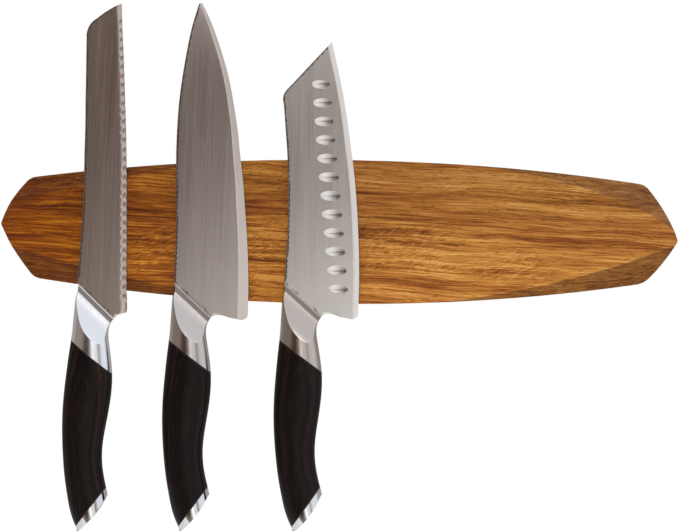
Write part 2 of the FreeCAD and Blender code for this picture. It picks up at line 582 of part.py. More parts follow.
def slot(b, tag, gap):
    """Flat slot that takes the tang, a little wider than the tang all round."""
    c = q("slot_clear")
    s = sketch(b, tag + "_slot_outline", "XZ_Plane")
    outline(s, [(q("tang_l1") - c, 6.0), (q("tang_l1") - c, "tang_z2"), (q("tang_l2") - c, "tang_z3"),
                (q("tang_l2") - c, q("tang_z4") - 0.5), (q("tang_r2") + c, q("tang_z4") - 0.5), (q("tang_r2") + c, "tang_z3"),
                (q("tang_r1") + c, "tang_z6"), (q("tang_r1") + c, 6.0)])
    return cut(b, tag + "_slot", s, q("slot_half") * 2, mid=True)


def end_cut(b, tag):
    """Slightly domed slanted end of the handle."""
    s = sketch(b, tag + "_dome", "XZ_Plane", ("end_x", "end_z", 0), "end_angle")
    c = q("end_chord")
    outline(s, [(5.0, 0.0), (5.0, -60.0), (-60.0, -60.0), (-60.0, 0.0), (-c, 0.0), (0.0, 0.0)],
            {4: -q("end_rad")})
    return cut(b, tag + "_end", s, None, mid=True)


def peg_sketch(b, tag, z, grow):
    s = sketch(b, tag + "_peg_circle", "XY_Plane", (0, 0, z))
    circle(s, "peg_x", 0.0, q("peg_rad") + grow)
    return s


def blade(name, pre, heel, stations):
    b = body(name)
    secs = []
    for i in range(1, len(stations) + 1):
        k = "%s%d_" % (pre, i)
        s = sketch(b, "%s_section%d" % (name, i), "XY_Plane", (0, 0, k + "z"))
        l, r, hs, hb, w, he = q(k + "l"), q(k + "r"), q(k + "s"), q(k + "b"), q(k + "w"), q("edge_half")
        outline(s, [(l, -hs), (r - w, -hb), (r, -he), (r, he), (r - w, hb), (l, hs)])
        secs.append(s)
    loft(b, name + "_grind", secs)
    # shoulder, choil and heel
    s = sketch(b, name + "_heel_outline", "XZ_Plane")
    ca, sa = qcos(q("band_angle")), qsin(q("band_angle"))
    e = q("band_end")
    outline(s, [(ca * -20.0, sa * 20.0), (ca * e, -(sa * e)), (heel + "1_x", heel + "1_z"), (heel + "2_x", heel + "2_z"),
                (heel + "3_x", heel + "3_z"), (heel + "4_x", heel + "4_z"), (70.0, heel + "4_z"), (70.0, -70.0), (-30.0, -70.0)],
            {1: q(heel + "1_rad"), 2: q(heel + "2_rad"), 4: -q(heel + "4_rad")})
    cut(b, name + "_heel", s, None, mid=True)
    return b


def tang(b, name):
    s = sketch(b, name + "_tang_outline", "XZ_Plane")
    outline(s, [("tang_l1", "tang_z1"), ("tang_l1", "tang_z2"), ("tang_l2", "tang_z3"), ("tang_l2", "tang_z4"),
                ("tang_r2", "tang_z4"), ("tang_r2", "tang_z3"), ("tang_r1", "tang_z6"), ("tang_r1", "tang_z5")])
    return pad(b, name + "_tang", s, q("tang_half") * 2, mid=True)


def knife_place(k):
    rot = FreeCAD.Rotation(V(1, 0, 0), -P[k + "_lean"]) * FreeCAD.Rotation(V(0, 1, 0), P[k + "_tilt"])
    return FreeCAD.Placement(V(P[k + "_x"], P[k + "_y"], P[k + "_z"]), rot)


PLACE_EXPR = ("placement(vector(Sizes.{k}_x; Sizes.{k}_y; Sizes.{k}_z); "
              "rotation(vector(1; 0; 0); 0 - Sizes.{k}_lean) * rotation(vector(0; 1; 0); Sizes.{k}_tilt))")

pieces = {}
for k in ("bread", "chef", "santoku"):
    n = k + "_bolster"
    b = body(n)
    envelope(b, n)
    half_plane(b, n + "_top", 0, 0, -q("band_angle"), 0.0, True)
    half_plane(b, n + "_foot", "joint_x", "joint_z", -q("joint_angle"), 0.0, False)
    # hollow-ground scoops on both faces, starting with the narrow ramp below the blade
    s = sketch(b, n + "_scoop_profile", "YZ_Plane", (0, 0, 0), 0, 0, "band_angle")
    rh, bh, bw, R = q("ricasso_half"), q("band_half"), q("band_wide"), q("scoop_rad")
    back = R * qsin(q("scoop_slope"))
    cen = bh + qsqrt(R * R - back * back)
    rea = q("scoop_reach")
    hx = cen - qsqrt(R * R - (rea + back) * (rea + back))
    for sg in (1.0, -1.0):
        outline(s, [(rh * sg, 0.5), (rh * sg, 0.0), (bh * sg, -bw), (hx * sg, -bw - rea), ((hx + 6.0) * sg, -bw - rea), ((hx + 6.0) * sg, 0.5)],
                {2: R * (-sg)})
    cut(b, n + "_scoops", s, None, mid=True)
    slot(b, n, 0)
    pieces[n] = b

    n = k + "_front_spacer"
    b = body(n)
    envelope(b, n)
    half_plane(b, n + "_top", "joint_x", "joint_z", -q("joint_angle"), 0.0, True)
    half_plane(b, n + "_foot", "joint_x", "joint_z", -q("joint_angle"), -q("spacer_thick"), False)
    slot(b, n, 0)
    pieces[n] = b

    n = k + "_handle"
    b = body(n)
    envelope(b, n)
    half_plane(b, n + "_top", "joint_x", "joint_z", -q("joint_angle"), -q("spacer_thick"), True)
    half_plane(b, n + "_foot", "cap_x", "cap_z", "cap_angle", q("spacer_thick"), False)
    slot(b, n, 0)
    s = peg_sketch(b, n, q("peg_top") + 0.6, q("peg_clear"))
    cut(b, n + "_peg_hole", s, 60.0, rev=False)
    pieces[n] = b

    n = k + "_rear_spacer"
    b = body(n)
    envelope(b, n)
    half_plane(b, n + "_top", "cap_x", "cap_z", "cap_angle", q("spacer_thick"), True)
    half_plane(b, n + "_foot", "cap_x", "cap_z", "cap_angle", 0.0, False)
    s = peg_sketch(b, n, q("peg_top") + 0.6, q("peg_clear"))
    cut(b, n + "_peg_hole", s, 60.0, rev=False)
    pieces[n] = b

    n = k + "_end_cap"
    b = body(n)
    envelope(b, n)
    half_plane(b, n + "_top", "cap_x", "cap_z", "cap_angle", 0.0, True)
    s = peg_sketch(b, n, "peg_top", 0.0)
    pad(b, n + "_peg", s, q("peg_top") - "peg_low", rev=True)
    end_cut(b, n)
    pieces[n] = b
doc.recompute()

# chef's knife blade
n = "chef_blade"
b = blade(n, "cb", "ch", CHEF)
tang(b, n)
pieces[n] = b

# bread knife blade: rounded nose and scalloped edge ground from the front
n = "bread_blade"
b = blade(n, "bb", "bh", BREAD)
s = sketch(b, n + "_nose_outline", "XZ_Plane")
outline(s, [("bn1_x", "bn1_z"), ("bn2_x", "bn2_z"), ("bn3_x", "bn3_z"), (30.0, "bn3_z"), (30.0, 200.0), (-30.0, 200.0), (-30.0, "bn1_z")],
        {0: "bn1_rad", 1: "bn2_rad"})
cut(b, n + "_nose", s, None, mid=True)
tang(b, n)
doc.recompute()
# the edge is slightly bowed, so the scallops run in two straight rows; each row is
# one wavy profile swept through the blade at the grinding angle
for tag, first in (("se1", 0.5 - SERRATIONS[0]), ("se2", -0.5)):
    count = SERRATIONS[0] if tag == "se1" else SERRATIONS[1]
    s = sketch(b, "%s_%s_profile" % (n, tag), "XZ_Plane", (tag + "_x", tag + "_z", 0), tag + "_lean", q("ser_angle") - 90.0)
    wave = [(0.0, q("ser_pitch") * (first + i)) for i in range(count + 1)]
    outline(s, wave + [(25.0, wave[-1][1]), (25.0, wave[0][1])], {i: "ser_rad" for i in range(count)})
    cut(b, "%s_%s_scallops" % (n, tag), s, None, mid=True)
    doc.recompute()
pieces[n] = b

# santoku blade: straight clipped nose and a row of ground dimples on both faces
n = "santoku_blade"
b = blade(n, "sb", "sh", SANTOKU)
s = sketch(b, n + "_nose_outline", "XZ_Plane")
outline(s, [("sn1_x", "sn1_z"), ("sn2_x", "sn2_z"), ("sn3_x", "sn3_z"), (40.0, "sn3_z"), (40.0, 180.0), (-30.0, 180.0), (-30.0, "sn1_z")],
        {0: "sn1_rad"})
cut(b, n + "_nose", s, None, mid=True)
tang(b, n)
doc.recompute()
grooves = []
for face, sg in (("front", -1.0), ("rear", 1.0)):
    # grinding-wheel section: crowned rim seen in a plane that holds the wheel axis
    s = sketch(b, "%s_wheel_%s" % (n, face), "YZ_Plane", (0, "dim_z", "dim_x"), 0, q("dim_taper") * (-sg), 0)
    top = q("dim_face") - "dim_depth"
    wheel, crown = q("dim_wheel"), q("dim_crown")
    rim = 4.0
    dz = crown - Q(math.sqrt(crown.v ** 2 - rim ** 2), "sqrt(%s * %s - 16)" % (crown.t, crown.t))
    outline(s, [((top + wheel) * sg, -rim), ((top + dz) * sg, -rim), ((top + dz) * sg, rim), ((top + wheel) * sg, rim)],
            {1: crown * (1.0 if sg > 0 else -1.0)})
    ax = s.addGeometry(Part.LineSegment(V(sg * (top.v + wheel.v), -6, 0), V(sg * (top.v + wheel.v), 6, 0)), True)
    s.addConstraint(Sketcher.Constraint("Vertical", ax))
    drive(s, Sketcher.Constraint("DistanceX", -1, 1, ax, 1, sg * (top.v + wheel.v)), (top + wheel) * sg)
    drive(s, Sketcher.Constraint("DistanceY", -1, 1, ax, 1, -6.0), q(-6.0))
    drive(s, Sketcher.Constraint("DistanceY", -1, 1, ax, 2, 6.0), q(6.0))
    g = b.newObject("PartDesign::Groove", "%s_dimple_%s" % (n, face))
    g.Profile = s
    g.ReferenceAxis = (s, ["Axis0"])
    g.Angle = 360.0
    s.Visibility = False
    doc.recompute()
    grooves.append(g)
s = sketch(b, n + "_row_line", "XZ_Plane", ("dim_x", "dim_z", 0), "dim_lean")
gl = s.addGeometry(Part.LineSegment(V(0, 0, 0), V(0, 10, 0)), False)
s.addConstraint(Sketcher.Constraint("Coincident", gl, 1, -1, 1))
s.addConstraint(Sketcher.Constraint("Vertical", gl))
s.addConstraint(Sketcher.Constraint("DistanceY", gl, 1, gl, 2, 10.0))
s.Visibility = False
repeat(b, n + "_dimples", grooves, (s, ["V_Axis"]), "dim_count", q("dim_pitch") * (q("dim_count") - 1))
pieces[n] = b
doc.recompute()

for n, b in pieces.items():
    k = n.split("_")[0]
    b.Placement = knife_place(k)
    b.setExpression("Placement", PLACE_EXPR.format(k=k))
doc.recompute()

# ---------------------------------------------------------------------------
# check and write
# ---------------------------------------------------------------------------
bad = []
for o in doc.Objects:
    if any(w in ("Invalid", "Error") for w in o.State):
        bad.append((o.Name, o.State))
nodes = [o for o in doc.Objects if o.TypeId == "PartDesign::Body"]
for o in nodes:
    if o.Shape.isNull() or not o.Shape.isValid() or not o.Shape.Solids:
        bad.append((o.Name, "shape"))
if bad:
    raise RuntimeError("faulty objects: %s" % bad)
os.makedirs("parts", exist_ok=True)
for o in nodes:
    o.Shape.exportStep("parts/%s.step" % o.Label)
    print("%-26s solids %2d volume %10.1f" % (o.Label, len(o.Shape.Solids), o.Shape.Volume))
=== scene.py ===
import math
import bpy
import bmesh
import numpy as np
from mathutils import Vector, Matrix


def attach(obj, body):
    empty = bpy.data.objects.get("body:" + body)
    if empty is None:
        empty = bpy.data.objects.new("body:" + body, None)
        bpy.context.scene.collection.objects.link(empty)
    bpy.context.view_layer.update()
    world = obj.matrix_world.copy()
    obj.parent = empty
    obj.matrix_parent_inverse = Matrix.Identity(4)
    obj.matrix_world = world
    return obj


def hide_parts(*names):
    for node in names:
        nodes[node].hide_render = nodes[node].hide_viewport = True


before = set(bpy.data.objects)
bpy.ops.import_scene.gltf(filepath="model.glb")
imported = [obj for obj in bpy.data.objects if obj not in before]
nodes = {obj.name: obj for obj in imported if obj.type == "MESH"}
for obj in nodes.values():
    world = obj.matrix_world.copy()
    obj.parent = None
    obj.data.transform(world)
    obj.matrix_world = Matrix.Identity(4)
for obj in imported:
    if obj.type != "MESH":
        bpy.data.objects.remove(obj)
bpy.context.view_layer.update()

scene = bpy.context.scene
KNIVES = ("bread", "chef", "santoku")
# placement of each knife: spine corner of its band, tilt about Y and lean about X in degrees
BAND = math.radians(41.0)
PLACE = {"bread": ((-0.16826, -0.02162, -0.03419), 3.03, 0.05),
         "chef": ((-0.10624, -0.02220, -0.03357), 1.58, 0.45),
         "santoku": ((-0.03572, -0.02345, -0.03308), 0.83, 1.3)}


def knife_matrix(name):
    p, tilt, lean = PLACE[name]
    return Matrix.Translation(p) @ Matrix.Rotation(math.radians(-lean), 4, "X") @ Matrix.Rotation(math.radians(tilt), 4, "Y")


# ---------------------------------------------------------------- node helpers
class Tree:
    def __init__(self, mat):
        mat.use_nodes = True
        self.t = mat.node_tree
        self.t.nodes.clear()
        self.x = 0

    def add(self, kind, **kw):
        n = self.t.nodes.new(kind)
        n.location = (self.x, 0)
        self.x += 180
        for k, v in kw.items():
            setattr(n, k, v)
        return n

    def link(self, a, b):
        self.t.links.new(a, b)

    def put(self, socket, value):
        if isinstance(value, bpy.types.NodeSocket):
            self.link(value, socket)
        elif value is not None:
            socket.default_value = value

    def coords(self, name=None):
        c = self.add("ShaderNodeTexCoord").outputs["Object"]
        if name in PLACE:
            p, tilt, lean = PLACE[name]
            m = knife_matrix(name).inverted()
            e = m.to_euler("XYZ")
            t = m.to_translation()
            mp = self.add("ShaderNodeMapping", vector_type="POINT")
            self.link(c, mp.inputs["Vector"])
            mp.inputs["Rotation"].default_value = e
            mp.inputs["Location"].default_value = t
            c = mp.outputs[0]
        return c

    def mapping(self, vec, scale=(1, 1, 1), rot=(0, 0, 0), loc=(0, 0, 0)):
        mp = self.add("ShaderNodeMapping", vector_type="POINT")
        self.link(vec, mp.inputs["Vector"])
        mp.inputs["Scale"].default_value = scale
        mp.inputs["Rotation"].default_value = rot
        mp.inputs["Location"].default_value = loc
        return mp.outputs[0]

    def noise(self, vec, scale=1.0, detail=3.0, rough=0.5, lac=2.0, dist=0.0, dims="3D"):
        n = self.add("ShaderNodeTexNoise", noise_dimensions=dims)
        self.link(vec, n.inputs["Vector"])
        for k, v in (("Scale", scale), ("Detail", detail), ("Roughness", rough), ("Lacunarity", lac), ("Distortion", dist)):
            self.put(n.inputs[k], v)
        return n.outputs["Fac"]

    def noise_colour(self, vec, scale=1.0, detail=3.0, rough=0.5):
        n = self.add("ShaderNodeTexNoise")
        self.link(vec, n.inputs["Vector"])
        for k, v in (("Scale", scale), ("Detail", detail), ("Roughness", rough)):
            self.put(n.inputs[k], v)
        return n.outputs["Color"]

    def math(self, op, a, b=None, c=None, clamp=False):
        n = self.add("ShaderNodeMath", operation=op, use_clamp=clamp)
        self.put(n.inputs[0], a)
        if b is not None:
            self.put(n.inputs[1], b)
        if c is not None:
            self.put(n.inputs[2], c)
        return n.outputs[0]

    def range(self, v, a, b, c=0.0, d=1.0, smooth=False):
        n = self.add("ShaderNodeMapRange", interpolation_type="SMOOTHSTEP" if smooth else "LINEAR", clamp=True)
        for i, x in enumerate((v, a, b, c, d)):
            self.put(n.inputs[i], x)
        return n.outputs[0]

    def ramp(self, fac, stops, mode="LINEAR"):
        n = self.add("ShaderNodeValToRGB")
        cr = n.color_ramp
        cr.interpolation = mode
        while len(cr.elements) < len(stops):
            cr.elements.new(0.5)
        for e, (p, c) in zip(cr.elements, stops):
            e.position = p
            e.color = (*c, 1.0) if len(c) == 3 else c
        self.link(fac, n.inputs[0])
        return n.outputs[0]

    def mix(self, fac, a, b, blend="MIX"):
        n = self.add("ShaderNodeMix", data_type="RGBA", blend_type=blend)
        self.put(n.inputs[0], fac)
        for s, v in ((n.inputs[6], a), (n.inputs[7], b)):
            if isinstance(v, tuple):
                v = (*v, 1.0) if len(v) == 3 else v
            self.put(s, v)
        return n.outputs[2]

    def split(self, vec):
        n = self.add("ShaderNodeSeparateXYZ")
        self.link(vec, n.inputs[0])
        return n.outputs

    def join(self, x, y, z):
        n = self.add("ShaderNodeCombineXYZ")
        for s, v in zip(n.inputs, (x, y, z)):
            self.put(s, v)
        return n.outputs[0]

    def vadd(self, a, b):
        n = self.add("ShaderNodeVectorMath", operation="ADD")
        self.put(n.inputs[0], a)
        self.put(n.inputs[1], b)
        return n.outputs[0]

    def vscale(self, a, s):
        n = self.add("ShaderNodeVectorMath", operation="SCALE")
        self.put(n.inputs[0], a)
        self.put(n.inputs["Scale"], s)
        return n.outputs[0]

    def bump(self, height, strength, distance, normal=None):
        n = self.add("ShaderNodeBump")
        self.put(n.inputs["Strength"], strength)
        self.put(n.inputs["Distance"], distance)
        self.put(n.inputs["Height"], height)
        if normal is not None:
            self.link(normal, n.inputs["Normal"])
        return n.outputs[0]

    def shader(self, **kw):
        n = self.add("ShaderNodeBsdfPrincipled")
        for k, v in kw.items():
            k = k.replace("_", " ")
            if isinstance(v, tuple) and len(v) == 3 and k == "Base Color":
                v = (*v, 1.0)
            self.put(n.inputs[k], v)
        o = self.add("ShaderNodeOutputMaterial")
        self.link(n.outputs[0], o.inputs[0])
        return n


def srgb(r, g, b):
    f = lambda c: c / 12.92 if c <= 0.04045 else ((c + 0.055) / 1.055) ** 2.4
    return tuple(f(v / 255.0) for v in (r, g, b))


# ---------------------------------------------------------------- wood
def acacia():
    m = bpy.data.materials.new("acacia_wood")
    t = Tree(m)
    c = t.coords()
    # the board's fibres run along X with a slow wander, so bend the coordinates first
    slow = t.noise_colour(t.mapping(c, (5.0, 14.0, 9.0)), 1.0, 2.0, 0.5)
    bent = t.vadd(c, t.vscale(t.vadd(slow, (-0.5, -0.5, -0.5)), 0.016))
    quick = t.noise_colour(t.mapping(c, (38.0, 60.0, 90.0)), 1.0, 2.0, 0.55)
    bent = t.vadd(bent, t.vscale(t.vadd(quick, (-0.5, -0.5, -0.5)), 0.0018))
    lean = t.mapping(bent, (1, 1, 1), (0, math.radians(-3.0), 0))
    # broad light and dark bands
    broad = t.noise(t.mapping(lean, (4.5, 30.0, 62.0), loc=(3.1, 0, 7.7)), 1.0, 3.0, 0.55)
    bands = t.noise(t.mapping(lean, (9.0, 70.0, 210.0), loc=(1.3, 2.0, 4.1)), 1.0, 3.0, 0.6)
    lines = t.noise(t.mapping(lean, (30.0, 420.0, 1250.0)), 1.0, 3.0, 0.62)
    fibres = t.noise(t.mapping(lean, (120.0, 1500.0, 3000.0)), 1.0, 2.0, 0.6)
    # pores: short dark dashes along the grain
    pore_n = t.noise(t.mapping(lean, (210.0, 2200.0, 1900.0), loc=(9.0, 1.0, 0)), 1.0, 1.0, 0.5)
    pores = t.range(pore_n, 0.60, 0.72, 0.0, 1.0, True)
    # ripple figure across the grain, in patches
    fig = t.mapping(bent, (1, 1, 1), (0, math.radians(15.0), 0))
    fleck = t.noise(t.mapping(fig, (240.0, 500.0, 1500.0), loc=(4, 0, 2)), 1.0, 3.0, 0.65)
    patch = t.noise(t.mapping(c, (17.0, 30.0, 40.0), loc=(2.2, 0, 0.6)), 1.0, 2.0, 0.5)
    patch = t.range(patch, 0.42, 0.62, 0.0, 1.0, True)
    v = t.math("MULTIPLY", t.math("SUBTRACT", broad, 0.5), 0.85)
    v = t.math("ADD", v, t.math("MULTIPLY", t.math("SUBTRACT", bands, 0.5), 0.95))
    v = t.math("ADD", v, t.math("MULTIPLY", t.math("SUBTRACT", lines, 0.5), 1.25))
    v = t.math("ADD", v, t.math("MULTIPLY", t.math("SUBTRACT", fibres, 0.5), 0.32))
    fl = t.math("MULTIPLY", t.math("SUBTRACT", fleck, 0.5), t.math("MULTIPLY", patch, 1.15))
    v = t.math("ADD", v, fl)
    v = t.math("ADD", v, 0.5)
    xyz = t.split(c)
    # the board darkens towards its left end
    side = t.range(xyz[0], -0.20, 0.06, 0.0, 1.0, True)
    light = t.ramp(v, [(0.06, srgb(72, 32, 10)), (0.32, srgb(124, 71, 27)), (0.50, srgb(163, 105, 44)),
                       (0.68, srgb(189, 132, 62)), (0.92, srgb(208, 160, 92))])
    dark = t.ramp(v, [(0.06, srgb(48, 18, 2)), (0.32, srgb(88, 38, 4)), (0.50, srgb(124, 62, 7)),
                      (0.70, srgb(162, 95, 17)), (0.95, srgb(200, 138, 44))])
    col = t.mix(side, dark, light)
    # warm red-brown veil in the broad bands
    veil = t.noise(t.mapping(c, (6.0, 20.0, 26.0), loc=(8, 0, 3)), 1.0, 2.0, 0.5)
    col = t.mix(t.range(veil, 0.45, 0.7, 0.0, 0.38, True), col, t.mix(0.5, col, srgb(150, 78, 36)))
    col = t.mix(t.math("MULTIPLY", pores, 0.55), col, srgb(70, 34, 12))
    # end grain, where a face at the board's ends cuts across the fibres, drinks oil and goes darker; the sloped
    # chamfers get painted shade
    nrm = t.split(t.add("ShaderNodeNewGeometry").outputs["Normal"])
    chamfer_shade = t.range(t.math("ABSOLUTE", nrm[1]), 0.985, 0.86, 0.0, 1.0)
    end = t.range(t.math("ABSOLUTE", nrm[0]), 0.2, 0.85, 0.0, 1.0)
    # painted light and shade: the board is brighter near its bottom and darker towards its top
    painted_falloff = t.range(xyz[2], -0.036, 0.037, 1.16, 0.76)
    col = t.mix(1.0, col, t.join(painted_falloff, painted_falloff, painted_falloff), "MULTIPLY")
    # painted shade on the chamfers, darker the more they slope away from the front
    col = t.mix(t.math("MULTIPLY", chamfer_shade, 0.46), col, srgb(70, 34, 9))
    col = t.mix(t.math("MULTIPLY", end, 0.45), col, srgb(66, 34, 11))
    rough = t.range(v, 0.1, 0.9, 0.50, 0.36)
    rough = t.math("ADD", rough, t.math("MULTIPLY", pores, 0.18))
    h = t.math("ADD", t.math("MULTIPLY", fibres, 0.35), t.math("MULTIPLY", lines, 0.4))
    h = t.math("SUBTRACT", h, t.math("MULTIPLY", pores, 0.55))
    n1 = t.bump(h, 0.55, 0.00022)
    t.shader(Base_Color=col, Roughness=rough, Normal=n1, Specular_IOR_Level=0.12)
    return m


def backing_wood():
    m = bpy.data.materials.new("backing_wood")
    t = Tree(m)
    c = t.coords()
    bands = t.noise(t.mapping(c, (6.0, 70.0, 160.0), loc=(5, 5, 5)), 1.0, 3.0, 0.6)
    lines = t.noise(t.mapping(c, (24.0, 900.0, 900.0)), 1.0, 3.0, 0.6)
    v = t.math("ADD", t.math("MULTIPLY", bands, 0.6), t.math("MULTIPLY", lines, 0.4))
    col = t.ramp(v, [(0.25, srgb(120, 78, 40)), (0.5, srgb(168, 118, 66)), (0.75, srgb(196, 150, 92))])
    t.shader(Base_Color=col, Roughness=t.range(lines, 0.3, 0.7, 0.62, 0.48), Normal=t.bump(lines, 0.5, 0.0002), Specular_IOR_Level=0.4)
    return m


# ---------------------------------------------------------------- metals
def brushed(name, knife, base, rough, aniso, fine=1.0, bump=0.25):
    m = bpy.data.materials.new(name)
    t = Tree(m)
    c = t.coords(knife)
    fine1 = t.noise(t.mapping(c, (5200.0 * fine, 5200.0 * fine, 16.0)), 1.0, 2.0, 0.6)
    fine2 = t.noise(t.mapping(c, (1300.0 * fine, 1300.0 * fine, 7.0), loc=(3, 0, 1)), 1.0, 3.0, 0.6)
    wide = t.noise(t.mapping(c, (150.0, 150.0, 9.0), loc=(1, 2, 5)), 1.0, 3.0, 0.55)
    tone = t.math("ADD", t.math("MULTIPLY", fine1, 0.45), t.math("MULTIPLY", fine2, 0.55))
    dark = tuple(v * 0.91 for v in base)
    lite = tuple(min(1.0, v * 1.07) for v in base)
    col = t.ramp(t.math("ADD", t.math("MULTIPLY", tone, 0.65), t.math("MULTIPLY", wide, 0.35)), [(0.30, dark), (0.70, lite)])
    r = t.range(tone, 0.3, 0.7, rough - 0.03, rough + 0.04)
    r = t.math("ADD", r, t.math("MULTIPLY", t.math("SUBTRACT", wide, 0.5), 0.06))
    s = t.shader(Base_Color=col, Metallic=1.0, Roughness=r, Normal=t.bump(tone, bump, 0.00002), Anisotropic=aniso)
    t.link(t.join(1.0, 0.0, 0.0), s.inputs["Tangent"])
    return m


def polished(name, base=(0.80, 0.79, 0.78), rough=0.09, knife=None, band=False):
    m = bpy.data.materials.new(name)
    t = Tree(m)
    c = t.coords(knife)
    scuff = t.noise(t.mapping(c, (700.0, 700.0, 120.0)), 1.0, 3.0, 0.6)
    wave = t.noise(t.mapping(c, (60.0, 60.0, 40.0)), 1.0, 1.0, 0.5)
    col = t.mix(t.range(scuff, 0.35, 0.75, 0.0, 0.12), (*base, 1.0), tuple(v * 0.8 for v in base))
    r = t.range(scuff, 0.3, 0.7, rough - 0.03, rough + 0.05)
    if band:
        # the ground shoulder next to the blade is left satin and rougher, and its dark colour is painted shade; the
        # painted band starts just below its top, so a thin polished arris stays bright along it
        x, _, z = t.split(c)
        d = t.math("MULTIPLY", t.math("ADD", t.math("MULTIPLY", x, math.sin(BAND)), t.math("MULTIPLY", z, math.cos(BAND))), -1000.0)
        satin_shade_band = t.math("MULTIPLY", t.range(d, 0.35, 0.55, 0.0, 1.0, True), t.range(d, 3.1, 3.5, 1.0, 0.0, True))
        # painted shade: the shoulder band's dark steel colour
        col = t.mix(satin_shade_band, col, (0.27, 0.245, 0.225))
        r = t.math("ADD", r, t.math("MULTIPLY", satin_shade_band, 0.22))
    t.shader(Base_Color=col, Metallic=1.0, Roughness=r, Normal=t.bump(wave, 0.12, 0.0004))
    return m


def plated(name, base, rough=0.3):
    m = bpy.data.materials.new(name)
    t = Tree(m)
    c = t.coords()
    a = t.noise(t.mapping(c, (900.0, 900.0, 900.0)), 1.0, 3.0, 0.6)
    b = t.noise(t.mapping(c, (90.0, 90.0, 90.0)), 1.0, 2.0, 0.5)
    v = t.math("ADD", t.math("MULTIPLY", a, 0.5), t.math("MULTIPLY", b, 0.5))
    col = t.ramp(v, [(0.3, tuple(x * 0.78 for x in base)), (0.7, base)])
    t.shader(Base_Color=col, Metallic=1.0, Roughness=t.range(v, 0.3, 0.7, rough - 0.06, rough + 0.12), Normal=t.bump(a, 0.2, 0.00005))
    return m


def fibre():
    m = bpy.data.materials.new("black_fibre")
    t = Tree(m)
    a = t.noise(t.mapping(t.coords(), (2500.0, 2500.0, 2500.0)), 1.0, 2.0, 0.6)
    col = t.ramp(a, [(0.3, (0.006, 0.005, 0.005)), (0.7, (0.016, 0.014, 0.013))])
    t.shader(Base_Color=col, Roughness=t.range(a, 0.3, 0.7, 0.5, 0.7), Normal=t.bump(a, 0.2, 0.00004), Specular_IOR_Level=0.35)
    return m


def pakka(knife, seed):
    m = bpy.data.materials.new("pakkawood_" + knife)
    t = Tree(m)
    c = t.coords(knife)
    # thin veneers lie parallel to the blade, so the rounded sides show them as long ovals
    slow = t.noise(t.mapping(c, (30.0, 30.0, 9.0), loc=(seed, seed * 1.7, 2.0)), 1.0, 2.0, 0.5)
    quick = t.noise(t.mapping(c, (160.0, 160.0, 26.0), loc=(seed, 1.0, seed)), 1.0, 2.0, 0.5)
    y = t.split(c)[1]
    d = t.math("ADD", t.math("MULTIPLY", y, 1000.0), t.math("MULTIPLY", t.math("SUBTRACT", slow, 0.5), 6.0))
    d = t.math("ADD", d, t.math("MULTIPLY", t.math("SUBTRACT", quick, 0.5), 1.4))
    layer = t.noise(t.join(t.math("MULTIPLY", d, 1.15), seed * 3.3, 0.5), 1.0, 3.0, 0.62)
    hair = t.noise(t.mapping(c, (2600.0, 2600.0, 55.0), loc=(seed, 0, 0)), 1.0, 3.0, 0.65)
    v = t.math("ADD", t.math("MULTIPLY", layer, 0.72), t.math("MULTIPLY", hair, 0.28))
    col = t.ramp(v, [(0.36, srgb(4, 3, 3)), (0.48, srgb(12, 8, 7)), (0.56, srgb(27, 16, 13)), (0.64, srgb(66, 28, 17)), (0.78, srgb(92, 42, 26))])
    grey = t.ramp(hair, [(0.35, srgb(5, 4, 4)), (0.68, srgb(34, 26, 23))])
    col = t.mix(0.22, col, grey)
    rough = t.range(hair, 0.3, 0.7, 0.30, 0.46)
    t.shader(Base_Color=col, Roughness=rough, Normal=t.bump(hair, 0.3, 0.00008), Specular_IOR_Level=0.15)
    return m


wood = acacia()
mats = {
    "rail_body": wood, "magnets": plated("nickel_magnet", (0.62, 0.60, 0.57), 0.22), "keeper_bar": plated("keeper_steel", (0.42, 0.43, 0.44), 0.35),
    "back_cover_strip": backing_wood(), "keyhole_plate_left": plated("hanger_steel", (0.60, 0.61, 0.62), 0.3),
    "keyhole_plate_screws": plated("screw_steel", (0.63, 0.62, 0.58), 0.28)}
mats["keyhole_plate_right"] = mats["keyhole_plate_left"]
black = fibre()
# blade steel colour per knife: the warm tint, the darker bread blade and the lighter santoku blade are painted
# reflection on one steel
BLADE = {"bread": ((0.55, 0.455, 0.395), 0.185), "chef": ((0.585, 0.520, 0.475), 0.175), "santoku": ((0.705, 0.665, 0.625), 0.175)}
for i, k in enumerate(KNIVES):
    base, r = BLADE[k]
    mats[k + "_blade"] = brushed("blade_steel_" + k, k, base, r, 0.68, 1.35, 0.15)
    mats[k + "_end_cap"] = polished("polished_steel_" + k, knife=k)
    # each bolster's colour is painted reflection on one polished steel: pale on the bread knife, warm and darker on the
    # chef and santoku
    mats[k + "_bolster"] = polished("bolster_steel_" + k, {"bread": (0.86, 0.86, 0.87), "chef": (0.62, 0.565, 0.525), "santoku": (0.575, 0.505, 0.445)}[k], 0.19, k, True)
    mats[k + "_front_spacer"] = mats[k + "_rear_spacer"] = black
    mats[k + "_handle"] = pakka(k, 1.37 + 2.11 * i)
for n, o in nodes.items():
    o.data.materials.clear()
    o.data.materials.append(mats[n])

